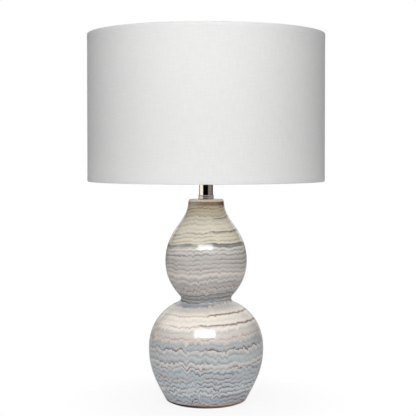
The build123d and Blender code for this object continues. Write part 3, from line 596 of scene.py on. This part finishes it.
# %% The belt
# A dark teal band round the upper lobe's shoulder, with paler gaps in it. It and the dark lines
# further on follow a height of their own, which drips and tilts less than the rings do.
TEAL = srgb(104, 116, 120)
BELT_LOW, BELT_HIGH = (287, 289), (291.5, 294.5)  # heights where its edges begin and end
GAP_SIZE = 34

sagged = glaze.total(glaze.product(steps, 0.6), glaze.product(drips, 0.35))
level = glaze.total(height, glaze.product(tilt, 0.3), glaze.product(glaze.total(wander, sagged), calm))
belt = glaze.product(glaze.spread(level, *BELT_LOW), glaze.spread(level, *BELT_HIGH, 0.85, 0))
belt_gaps = glaze.spread(glaze.noise(GAP_SIZE, around, detail=1), 0.38, 0.62, 0.6, 1.0)
ground = glaze.mix(glaze.product(belt, belt_gaps), ground, TEAL)
print(f"belt from {BELT_LOW[0]} to {BELT_HIGH[1]} mm")

# %% How clearly each ring shows
# Each ring draws a chance for its line, its bloom and its edge, and comes and goes along its way
PRESENCE_SIZE = 38
RING_APART = 61  # puts each ring's noise far from the next one's

chance = glaze.node("TexWhiteNoise", {"W": nearest}, noise_dimensions="1D").outputs["Color"]
line_chance, bloom_chance, edge_chance = glaze.split(chance)
along_ring = glaze.join(bearing_x, bearing_y, glaze.product(nearest, RING_APART))
presence = glaze.spread(glaze.noise(PRESENCE_SIZE, along_ring), 0.36, 0.58, 0.45, 1.0)
least = glaze.spread(height, 34, 64, 0.9, 0.35)  # rings near the foot are never faint


def strength(trace, zone, luck):
    """Trace within the ring times its strength by height, by chance and along the ring."""
    return glaze.product(trace, zone, glaze.straight(luck, 0, 1, least, 1.25), presence)


print("chances drawn")

# %% Colour the rings
BLOOM, EDGE = srgb(128, 145, 154), srgb(228, 214, 202)
LOW_LINE = srgb(112, 68, 54)
HIGH_LINE, OLIVE_LINE = srgb(146, 92, 52), srgb(112, 98, 70)  # mixed by chance, on the upper lobe
DASH_SIZE = 3.5

colour = glaze.mix(strength(bloom_trace, bloom_zone, bloom_chance), ground, BLOOM)
colour = glaze.mix(strength(edge_trace, edge_zone, edge_chance), colour, EDGE)
upper_line = glaze.mix(bloom_chance, HIGH_LINE, OLIVE_LINE)
line_colour = glaze.mix(glaze.spread(height, 235, 275), LOW_LINE, upper_line)
dashes = glaze.straight(glaze.noise(DASH_SIZE, drifting(0.4), detail=1), 0.3, 0.7, 0.6, 1.15)
line_strength = glaze.product(strength(line_trace, line_zone, line_chance), dashes)
colour = glaze.mix(glaze.maths("MINIMUM", line_strength, 0.95), colour, line_colour)
print("rings coloured")

# %% Dark lines of their own
DARK_LINE, DARKNESS = srgb(98, 72, 46), 0.75
CORE, LINE_FADE, START_FADE = 0.3, 0.8, 8  # millimetres: full dark, soft edge and soft start
# Height, bearing_x where the line fades in (-100 for one that goes all the way round), half width
DARK_LINES = [
    (152, -14, 1.5), (168, 2, 0.9), (187, -100, 0.8), (194, -100, 1.1),
    (202, -100, 1.0), (293, 10, 1.2), (315, 12, 1.1), (340, 26, 1.0),
]
for line_height, line_start, half_width in DARK_LINES:
    beside = glaze.apart(level, line_height)
    drawn = glaze.spread(beside, CORE, half_width + LINE_FADE, DARKNESS, 0)
    started = glaze.spread(bearing_x, line_start - START_FADE, line_start + START_FADE)
    colour = glaze.mix(glaze.product(drawn, started, dashes), colour, DARK_LINE)
print(len(DARK_LINES), "dark lines")

# %% The lip
# Under the rim the glaze is brown, most of all on the right: partly its own burnt glaze and partly
# painted shade under the rim. The rim's top is painted ivory: painted light, as if lit from above.
UMBER, RUST = srgb(150, 126, 100), srgb(122, 60, 44)
BURNT_AND_SHADE_LOW, BURNT_AND_SHADE_HIGH = (356, 362), (365.5, 367.5)  # heights where its edges begin and end
LIT_RIM_TOP = (366, 368)

lip_height = glaze.total(height, glaze.straight(glaze.noise(10, around), 0, 1, -1, 1))
# Partly painted shade: this brown band also stands in for the shade under the rim, strongest on the
# right.
burnt_and_shaded = glaze.product(glaze.spread(lip_height, *BURNT_AND_SHADE_LOW), glaze.spread(lip_height, *BURNT_AND_SHADE_HIGH, 1, 0),
                      glaze.spread(bearing_x, -80, 0, 0.25, 0.95))
brown = glaze.mix(glaze.spread(bearing_x, 40, 80), UMBER, RUST)
colour = glaze.mix(burnt_and_shaded, colour, brown)
# Painted light: the ivory on the rim's top stands in for the light that falls on it from above.
colour = glaze.mix(glaze.spread(lip_height, *LIT_RIM_TOP), colour, IVORY)
print(f"lip burnt above {BURNT_AND_SHADE_LOW[0]} mm")

# %% Tints and fine streaks
# A tint is the share of red, green and blue that it leaves
COOL, ROSY, SUNNY = (0.97, 1.0, 1.015), (1.03, 0.985, 0.97), (1.02, 1.0, 0.95)
DARK_RING, LIGHT_RING = (0.90, 0.91, 0.92), (1.03, 1.03, 1.02)
DARK_STREAK, LIGHT_STREAK = (0.89, 0.91, 0.93), (1.05, 1.03, 1.00)
STREAK_SIZE = 9
STREAK_STRETCH = 11  # how much thinner a streak is than it is long


def tinted(tones, factor, first, second):
    """Colour times a tint that goes from first to second."""
    return glaze.mix(1.0, tones, glaze.mix(factor, first, second), "MULTIPLY")


warm = glaze.mix(glaze.spread(height, 255, 295), ROSY, SUNNY)
colour = tinted(colour, edge_chance, COOL, warm)
shade_chance = glaze.maths("FRACT", glaze.product(line_chance, 7))  # a fourth chance for each ring
colour = tinted(colour, shade_chance, DARK_RING, LIGHT_RING)
flattened = glaze.join(x, y, glaze.product(source, STREAK_STRETCH))
streaks = glaze.noise(STREAK_SIZE, flattened, detail=3, roughness=0.6)
colour = tinted(colour, glaze.straight(streaks, 0.3, 0.7), DARK_STREAK, LIGHT_STREAK)
print("rings tinted and streaked")

# %% The foot's bare clay with a painted shadow, gloss and relief
CLAY_EDGE = FOOT_HEIGHT + 5.2
EDGE_WAVE, WAVE_SIZE = 1.2, 14
EDGE_BLUR = 0.3
PAINTED_SHADOW_CLAY, TAN_CLAY = srgb(44, 34, 28), srgb(150, 116, 80)
GRIT = (0.6, 0.55, 0.5)
GLAZE_ROUGHNESS, CLAY_ROUGHNESS = 0.09, 0.8

wave = glaze.straight(glaze.noise(WAVE_SIZE, around), 0, 1, -EDGE_WAVE, EDGE_WAVE)
bare = glaze.spread(glaze.total(height, wave), CLAY_EDGE - EDGE_BLUR, CLAY_EDGE + EDGE_BLUR, 1, 0)
# Painted shadow: the clay is darker towards the left, where the foot meets the table.
clay = glaze.mix(glaze.spread(bearing_x, -60, 40), PAINTED_SHADOW_CLAY, TAN_CLAY)
clay = tinted(clay, glaze.noise(2.5, detail=4), (1, 1, 1), GRIT)
polish = glaze.straight(bare, 0, 1, GLAZE_ROUGHNESS, CLAY_ROUGHNESS)
orange_peel = glaze.bump(glaze.noise(9, detail=1), 0.006, 0.3)
glaze.surface(base_color=glaze.mix(bare, colour, clay), roughness=polish, normal=orange_peel)
print(f"glaze finished, bare clay below {CLAY_EDGE:.1f} mm")

# %% [markdown]
# ## Metals
#
# Polished nickel plate, zinc-plated steel, brass, the bulb's cap and its tungsten wire differ in
# colour and in how smooth they are. None is perfectly even: plating has a faint mottle and rubbed
# steel a grain. So one recipe makes them all, and each metal says its two tones and its two
# roughnesses, and where it needs to, its grain and the depth of its relief.

# %% One recipe for metals
def metal(name, dark, light, smooth, rough, mottle=6.0, grain=0.4, relief=0.01):
    """Metal whose tone and polish drift over mottle millimetres, with a fine grain in its relief."""
    made = Finish(name)
    drift = made.noise(mottle, detail=3)
    tone = made.mix(drift, srgb(*dark), srgb(*light))
    polish = made.straight(made.noise(mottle / 2, detail=2), 0.3, 0.7, smooth, rough)
    fine = made.bump(made.noise(grain, detail=2), relief, 0.4)
    return made.surface(base_color=tone, roughness=polish, normal=fine, metallic=1.0)


finishes = {
    "nickel": metal("polished_nickel", (224, 213, 200), (234, 224, 212), 0.04, 0.09, relief=0.002),
    "zinc_steel": metal("zinc_plated_steel", (168, 170, 172), (196, 197, 196), 0.28, 0.42),
    "brass": metal("brass", (198, 160, 92), (221, 186, 120), 0.18, 0.30),
    "cap_metal": metal("bulb_cap_metal", (196, 196, 194), (214, 214, 212), 0.20, 0.32),
    "tungsten": metal("tungsten_wire", (92, 92, 94), (120, 120, 122), 0.35, 0.50, grain=0.2),
}
print("metals:", ", ".join(finishes))

# %% [markdown]
# ## Plastics, board, glass and painted wire
#
# Moulded plastic has a slightly uneven skin. The bulb is glass with white powder inside, so from
# outside it is an even white under a clear coat; its stem is clear glass. The shade's frame is
# steel wire under a white plastic coat. All of these share one recipe. The socket's liner is fibre
# board, matt with short fibres, and has its own.

# %% One recipe for moulded and painted pieces
def moulded(name, dark, light, smooth, rough, mottle=5.0, grain=0.8, relief=0.03, **more):
    """Plastic or paint whose tone and gloss drift a little, with a fine relief."""
    made = Finish(name)
    tone = made.mix(made.noise(mottle, detail=4), srgb(*dark), srgb(*light))
    polish = made.straight(made.noise(mottle / 3, detail=2), 0.3, 0.7, smooth, rough)
    fine = made.bump(made.noise(grain, detail=3), relief, 0.5)
    return made.surface(base_color=tone, roughness=polish, normal=fine, **more)


finishes["phenolic"] = moulded("black_phenolic", (18, 17, 17), (34, 32, 31), 0.25, 0.40)
finishes["nylon"] = moulded("ivory_nylon", (206, 200, 186), (222, 217, 204), 0.38, 0.50)
finishes["black_glass"] = moulded("black_glass", (12, 12, 16), (24, 24, 30), 0.06, 0.12, relief=0.01)
finishes["frame_wire"] = moulded("white_coated_wire", (222, 222, 220), (236, 236, 233), 0.32, 0.44)
finishes["bulb_glass"] = moulded("soft_white_glass", (238, 237, 232), (246, 245, 241), 0.12, 0.20,
                                 mottle=14, relief=0.005, coat_weight=0.6, coat_roughness=0.03)
finishes["stem_glass"] = moulded("stem_glass", (214, 222, 222), (232, 238, 238), 0.04, 0.08,
                                 relief=0.004, transmission_weight=0.85)
print("finishes so far:", len(finishes))

# %% Fibre board with its fibres
FIBRE_SIZE = 0.5
FIBRES_UPRIGHT = (1, 1, 0.15)  # squeezes height, so that the fibres run up and down

fibre_board = Finish("fibre_board")
stretched = fibre_board.vector("MULTIPLY", fibre_board.place, FIBRES_UPRIGHT)
fibres = fibre_board.noise(FIBRE_SIZE, stretched, detail=4)
fibre_tone = fibre_board.mix(fibres, srgb(60, 50, 42), srgb(98, 84, 70))
finishes["fibre_board"] = fibre_board.surface(base_color=fibre_tone, roughness=0.85,
                                              normal=fibre_board.bump(fibres, 0.08, 0.6))
print(f"fibre board with fibres {FIBRE_SIZE} mm thick")

# %% [markdown]
# ## The shade's lining
#
# The linen is laminated to a stiff styrene sheet, which shows inside the drum as a smooth, very
# pale skin with a faint pebbled grain. It could be made to let light through, but the bulb is off
# and it is seen only from above and below, so a plain surface is enough: two near whites, a soft
# gloss and the pebbles in its relief.

# %% Styrene
PEBBLE_SIZE = 0.9

styrene = Finish("styrene_lining")
pebbles = styrene.noise(PEBBLE_SIZE, detail=3)
lining_tone = styrene.mix(styrene.noise(40, detail=2), srgb(236, 235, 231), srgb(243, 242, 239))
finishes["styrene"] = styrene.surface(base_color=lining_tone, roughness=0.42,
                                      normal=styrene.bump(pebbles, 0.03, 0.5))
print(f"styrene with pebbles of {PEBBLE_SIZE} mm")

# %% [markdown]
# ## Linen
#
# The shade is white linen in a plain weave. Its threads run round the drum and straight up it, so
# the weave follows the drum: the distance round is the bearing times the radius. Each thread is a
# soft ridge, over one neighbour and under the next. Linen thread is uneven, so some threads are
# thicker along part of their length, and that shows from further off as faint short streaks.

# %% Weave
drum_low, drum_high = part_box("shade_fabric")
DRUM_RADIUS = drum_high.x
THREAD = 0.55  # millimetres from one thread to the next

linen = Finish("white_linen")
lx, ly, lz = linen.split(linen.place)
round_drum = linen.product(linen.maths("ARCTAN2", lx, ly), DRUM_RADIUS / MM)
warp_wave = linen.maths("SINE", linen.product(round_drum, pi / THREAD))
weft_wave = linen.maths("SINE", linen.product(lz, pi / THREAD))
over = linen.straight(linen.product(warp_wave, weft_wave), -0.4, 0.4)
weave = linen.mix(over, linen.maths("ABSOLUTE", warp_wave), linen.maths("ABSOLUTE", weft_wave))
print(f"linen with a thread each {THREAD} mm")

# %% Uneven threads, and the linen's surface
SLUB_SIZE = 2.2
SLUB_LONG, SLUB_THIN = 0.09, 1.6  # squeezes along a thread and across it

unrolled = linen.join(round_drum, lz)
slubs_round = linen.noise(SLUB_SIZE, linen.vector("MULTIPLY", unrolled, (SLUB_LONG, SLUB_THIN, 1)))
slubs_up = linen.noise(SLUB_SIZE, linen.vector("MULTIPLY", unrolled, (SLUB_THIN, SLUB_LONG, 1)))
slubs = linen.product(linen.total(slubs_round, slubs_up), 0.5)
linen_tone = linen.mix(linen.straight(slubs, 0.35, 0.65), srgb(227, 227, 227), srgb(234, 234, 233))
thread_relief = linen.bump(weave, 0.05, 0.5)
linen_relief = linen.bump(slubs, 0.10, 0.35, under=thread_relief)
finishes["linen"] = linen.surface(base_color=linen_tone, roughness=0.9, normal=linen_relief,
                                  specular_ior_level=0.15, sheen_weight=0.08)
print(f"thicker stretches about {SLUB_SIZE / SLUB_LONG:.0f} mm long")

# %% [markdown]
# ## Felt, and a finish for every piece
#
# Felt is wool matted together: it has no weave, only a fuzzy relief in mixed greys, and its loose
# fibres catch the light at a low angle, which the shader calls sheen. It is the last finish. The
# frame's record says which finish each CAD node takes, so one loop dresses them all.

# %% Felt
MATTING_SIZE = 0.8

felt = Finish("grey_felt")
matting = felt.noise(MATTING_SIZE, detail=6, roughness=0.7)
felt_tone = felt.mix(matting, srgb(66, 64, 62), srgb(104, 101, 97))
finishes["felt"] = felt.surface(base_color=felt_tone, roughness=1.0, specular_ior_level=0.1,
                                normal=felt.bump(matting, 0.4, 0.8), sheen_weight=0.3)
finishes["glaze"] = glaze.material
print(len(finishes), "finishes:", ", ".join(finishes))

# %% Give every CAD node its finish
for part in frame["record"]["subparts"]:
    for material_slot in nodes[part["node"]].material_slots:
        material_slot.material = finishes[part["material_slot"]]
print("finished nodes:", len(nodes))

# %% [markdown]
# ## The linen drum
#
# The cloth is one strip, wrapped round both wire rings at its long edges and joined at the back,
# where its end laps over its start by 12 mm. A tube with two lips would look too clean, so the
# piece is modelled as it is sewn: a profile that goes up the inner flap, over the ring, down the
# outside, under the lower ring and up the lower flap, spun round the axis. A fold lies round the
# ring inside; outside it is drawn tight, and so a little squarer. The lap is then lifted by one
# thickness of cloth, and the sheet gets its thickness last.

# %% Where the cloth lies
CLOTH = 0.6 * MM
HEM_DEPTH = 8.0 * MM
HEM_PRINT = 0.25 * MM  # how far the hidden flap pushes the outside out
HEM_EASE = 1.2 * MM  # height in which that print eases off into the wall

ring_low, ring_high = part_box("shade_top_ring")
low_ring_low, low_ring_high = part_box("shade_bottom_ring")
ring_z = (ring_low.z + ring_high.z) / 2
low_ring_z = (low_ring_low.z + low_ring_high.z) / 2
cloth_radius = DRUM_RADIUS - CLOTH / 2
fold_radius = drum_high.z - ring_z - CLOTH / 2
fold_centre = cloth_radius - fold_radius
flap_radius = fold_centre - fold_radius
top_hem = drum_high.z - HEM_DEPTH
low_hem = drum_low.z + HEM_DEPTH
print(f"cloth radius {cloth_radius / MM:.2f} mm, folds {fold_radius / MM:.2f} mm")

# %% The drum's section
FOLD_POINTS = 16
FOLD_SQUARENESS = 5  # 2 is round, more is squarer


def fold_over(centre_z, start, end):
    """Points of a fold about a ring from one angle to another, squarer on its outer half."""
    points = []
    for i in range(FOLD_POINTS + 1):
        angle = radians(start + (end - start) * i / FOLD_POINTS)
        out, up = cos(angle), sin(angle)
        if out > 0:
            reach = (out**FOLD_SQUARENESS + abs(up)**FOLD_SQUARENESS)**(1 / FOLD_SQUARENESS)
            out, up = out / reach, up / reach
        points.append((fold_centre + fold_radius * out, centre_z + fold_radius * up))
    return points


SECTION = [
    (flap_radius, top_hem),
    *fold_over(ring_z, 180, 0),
    (cloth_radius + HEM_PRINT, (ring_z + top_hem) / 2),
    (cloth_radius + HEM_PRINT, top_hem),
    (cloth_radius, top_hem - HEM_EASE),
    (cloth_radius, low_hem + HEM_EASE),
    (cloth_radius + HEM_PRINT, low_hem),
    (cloth_radius + HEM_PRINT, (low_ring_z + low_hem) / 2),
    *fold_over(low_ring_z, 0, -180),
    (flap_radius, low_hem),
]
print(f"section of {len(SECTION)} points")

# %% Spin the section
DRUM_STEPS = 240
WALL_EDGE = 200 * MM  # only the plain wall between the hems has upright edges longer than this
WALL_CUTS = 5

drum = bmesh.new()
chain = [drum.verts.new((radius, 0, z)) for radius, z in SECTION]
edges = [drum.edges.new(pair) for pair in zip(chain, chain[1:])]
bmesh.ops.spin(drum, geom=[*chain, *edges], axis=(0, 0, 1), cent=(0, 0, 0), angle=2 * pi,
               steps=DRUM_STEPS, use_merge=True)
wall = [e for e in drum.edges if abs(e.verts[0].co.z - e.verts[1].co.z) > WALL_EDGE]
bmesh.ops.subdivide_edges(drum, edges=wall, cuts=WALL_CUTS, use_grid_fill=True)
print(len(drum.faces), "faces round the drum")

# %% Cut the drum where the lap starts and ends
LAP_WIDTH = 12 * MM
LAP_EDGE = 0.6 * MM  # width of the step up at the cloth's cut edge
LAP_FADE = 8 * MM  # width of the slope down where the lap runs out
LAP_START = -LAP_WIDTH / 2
LAP_END = LAP_WIDTH / 2
BACK_FROM = 200 * MM  # the lap's faces are further back than this
BACK_HALF = 30 * MM  # and no further than this to either side
MERGE_WITHIN = 0.01 * MM


def near_lap(face):
    """Whether a face is in the strip at the back that the lap needs."""
    centre = face.calc_center_median()
    return centre.y > BACK_FROM and abs(centre.x) < BACK_HALF


for cut in (LAP_START, LAP_START + LAP_EDGE, LAP_END, LAP_END + LAP_FADE):
    back = [f for f in drum.faces if near_lap(f)]
    touched = list({part for f in back for part in (*f.verts, *f.edges)}) + back
    bmesh.ops.bisect_plane(drum, geom=touched, plane_co=(cut, 0, 0), plane_no=(1, 0, 0))
bmesh.ops.remove_doubles(drum, verts=drum.verts, dist=MERGE_WITHIN)
print(len(drum.faces), "faces with the lap's cuts")

# %% Lift the lap
OUTER_SKIN = 0.3 * MM  # how far inside the cloth's radius its outside still counts


def climbed(distance, width):
    """Share of a slope of that width that is climbed after a distance, from 0 to 1."""
    return min(max(distance / width, 0), 1)


for v in drum.verts:
    radius = hypot(v.co.x, v.co.y)
    if v.co.y > 0 and radius > cloth_radius - OUTER_SKIN:
        rise = climbed(v.co.x - LAP_START, LAP_EDGE) - climbed(v.co.x - LAP_END, LAP_FADE)
        v.co.xy *= (radius + rise * CLOTH) / radius
print(f"lap lifted by {CLOTH / MM:.1f} mm")

# %% Turn the faces outwards
def facing_out(face):
    """A face's area, counted as far as it looks away from the axis."""
    centre = face.calc_center_median()
    return face.normal.dot(Vector((centre.x, centre.y, 0))) * face.calc_area()


bmesh.ops.recalc_face_normals(drum, faces=drum.faces)
if sum(facing_out(f) for f in drum.faces) < 0:
    bmesh.ops.reverse_faces(drum, faces=drum.faces)
for f in drum.faces:
    f.smooth = True
print("faces turned outwards")

# %% Thickness, and the drum's place in the frame
linen_drum = new_mesh("linen_drum", drum)
thick = linen_drum.modifiers.new("cloth", "SOLIDIFY")
thick.thickness = CLOTH
thick.offset = 0
linen_drum.data.materials.append(finishes["linen"])
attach(linen_drum, "shade")
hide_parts("shade_fabric")

# %% [markdown]
# ## The felt
#
# A disc of pressed wool is glued under the foot. It was punched out, so its edge is nearly square
# but soft. A flat disc alone would look like card, so this one has a real thickness and rounded
# rims, and its finish gives its face the unevenness of matted wool.

# %% Felt disc
felt_low, felt_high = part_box("felt_pad")
FELT_RADIUS = felt_high.x
FELT_THICKNESS = felt_high.z - felt_low.z
FELT_EDGE = 0.4 * MM
FELT_SIDES = 128
LEVEL_WITHIN = 0.001 * MM  # an edge that rises less than this is level
FACING_UP = 0.99  # least upright share of a flat face's normal

pad = bmesh.new()
bmesh.ops.create_circle(pad, cap_ends=True, segments=FELT_SIDES, radius=FELT_RADIUS)
raised = bmesh.ops.extrude_face_region(pad, geom=list(pad.faces))
lifted = [v for v in raised["geom"] if isinstance(v, bmesh.types.BMVert)]
bmesh.ops.translate(pad, vec=(0, 0, FELT_THICKNESS), verts=lifted)
bmesh.ops.recalc_face_normals(pad, faces=pad.faces)
rims = [e for e in pad.edges if abs(e.verts[0].co.z - e.verts[1].co.z) < LEVEL_WITHIN]
bmesh.ops.bevel(pad, geom=rims, offset=FELT_EDGE, segments=3, profile=0.5, affect="EDGES", material=-1)
for f in pad.faces:
    f.smooth = abs(f.normal.z) < FACING_UP
felt_disc = new_mesh("felt_disc", pad)
felt_disc.data.materials.append(finishes["felt"])
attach(felt_disc, "base")
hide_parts("felt_pad")
print(f"felt disc {2 * FELT_RADIUS / MM:.0f} mm across")
